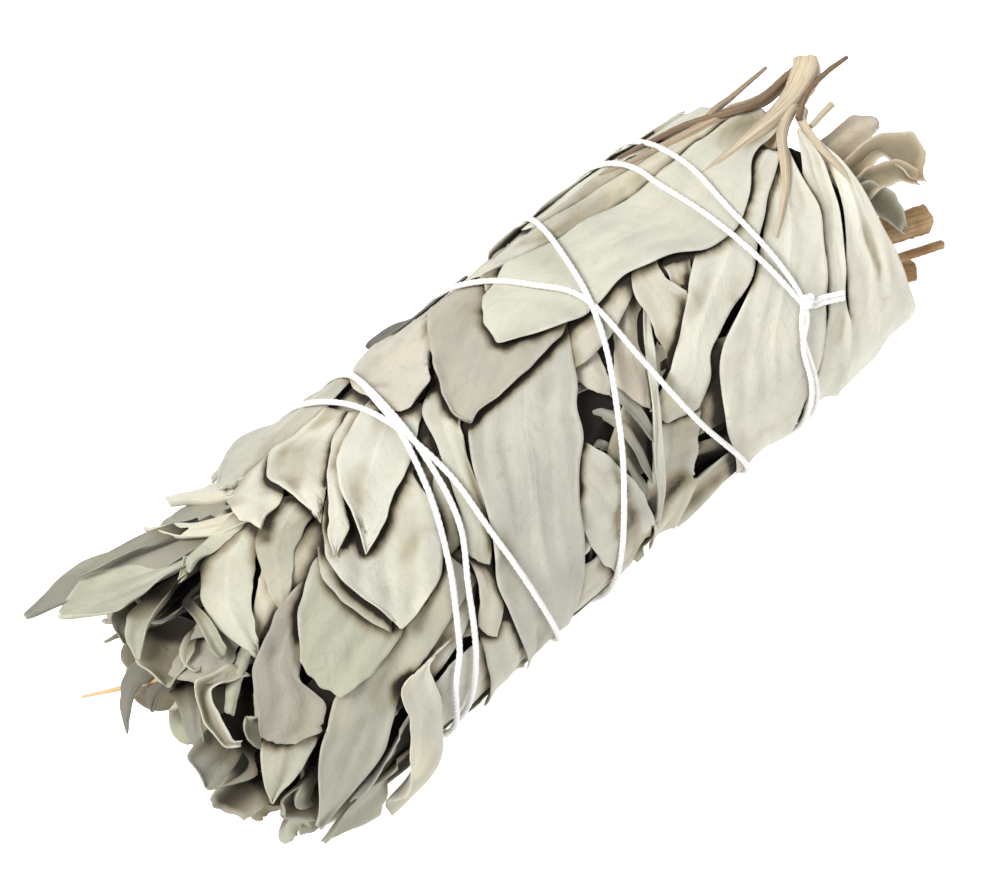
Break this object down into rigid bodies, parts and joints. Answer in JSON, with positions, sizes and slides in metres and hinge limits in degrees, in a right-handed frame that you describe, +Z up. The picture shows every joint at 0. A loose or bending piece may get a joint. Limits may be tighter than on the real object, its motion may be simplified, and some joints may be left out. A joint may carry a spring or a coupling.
{
  "type": "sage bunch",
  "caption": "A bunch of dried white sage lying on its side: grey-green leafy stems bound with a crossing white cotton thread, woody cut ends at one end and loose leaf tips at the other.",
  "frame": {"origin": "on the surface that the bunch lies on, below the middle of its bounding box", "axes": "+X along the bunch towards the cut stems, +Z up, +Y towards the far side as the knot faces the viewer"},
  "size_m": [0.1305, 0.0448, 0.0451],
  "materials": {
    "leaf_pale": "dry, felted, pale grey-green leaves",
    "leaf_grey": "dry, felted, grey-green leaves",
    "leaf_tan": "dry, felted leaves, tinted tan",
    "leaf_green": "dry, felted, greener leaves",
    "leaf_shoot": "dry, felted, pale leaves on a tan stalk",
    "stem": "dry brown woody stem, cut across",
    "straw": "dry straw",
    "thread": "plied white cotton"
  },
  "bodies": {
    "root": {"leafy_stem_1": "leaf_pale", "leafy_stem_2": "leaf_grey", "leafy_stem_3": "leaf_tan", "leafy_stem_4": "leaf_green", "leafy_stem_5": "leaf_pale", "leafy_stem_6": "leaf_grey", "leafy_stem_7": "leaf_tan", "leafy_stem_8": "leaf_green", "top_shoot": "leaf_shoot", "woody_stem_1": "stem", "woody_stem_2": "stem", "woody_stem_3": "stem", "woody_stem_4": "stem", "woody_stem_5": "stem", "woody_stem_6": "stem", "woody_stem_7": "stem", "woody_stem_8": "stem", "straw": "straw", "binding_thread": "thread"}
  },
  "joints": []
}
